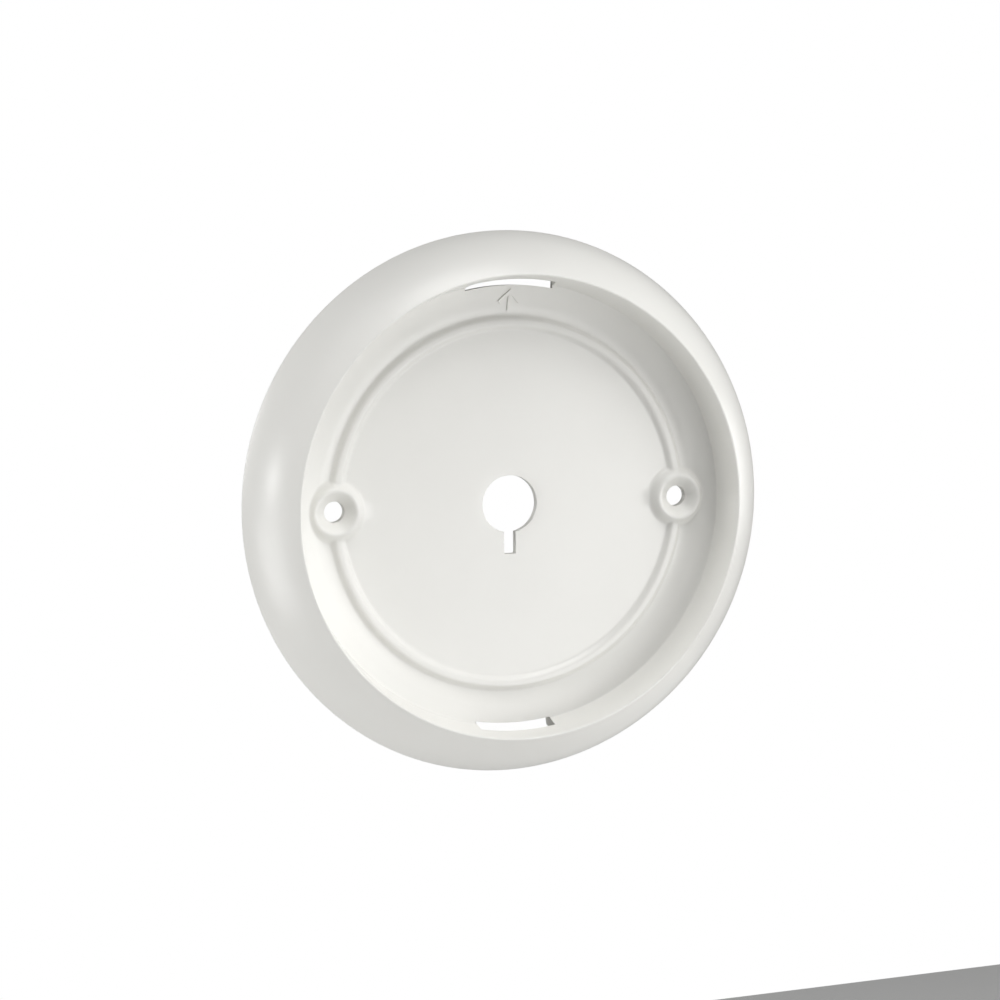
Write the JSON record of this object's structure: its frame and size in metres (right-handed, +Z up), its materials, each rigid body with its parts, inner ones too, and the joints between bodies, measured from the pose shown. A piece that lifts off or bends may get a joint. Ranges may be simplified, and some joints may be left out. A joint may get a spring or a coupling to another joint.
{
  "type": "smoke detector mounting base",
  "caption": "Round white plastic wall base for a smoke detector: shallow dish, domed skirt, cable hole with key slot, countersunk screw bosses and snap windows.",
  "frame": {"origin": "centre of the cable hole in the wall plane, which is the plane of the skirt's rim and of the pads behind the screws", "axes": "+Y into the wall, so the open dish faces -Y; +Z up, towards the raised arrow; +X to the right seen from the room"},
  "size_m": [0.108, 0.012, 0.108],
  "materials": {
    "white_plastic": "satin moulded"
  },
  "bodies": {
    "root": {"mounting_base": "white_plastic"}
  },
  "joints": []
}
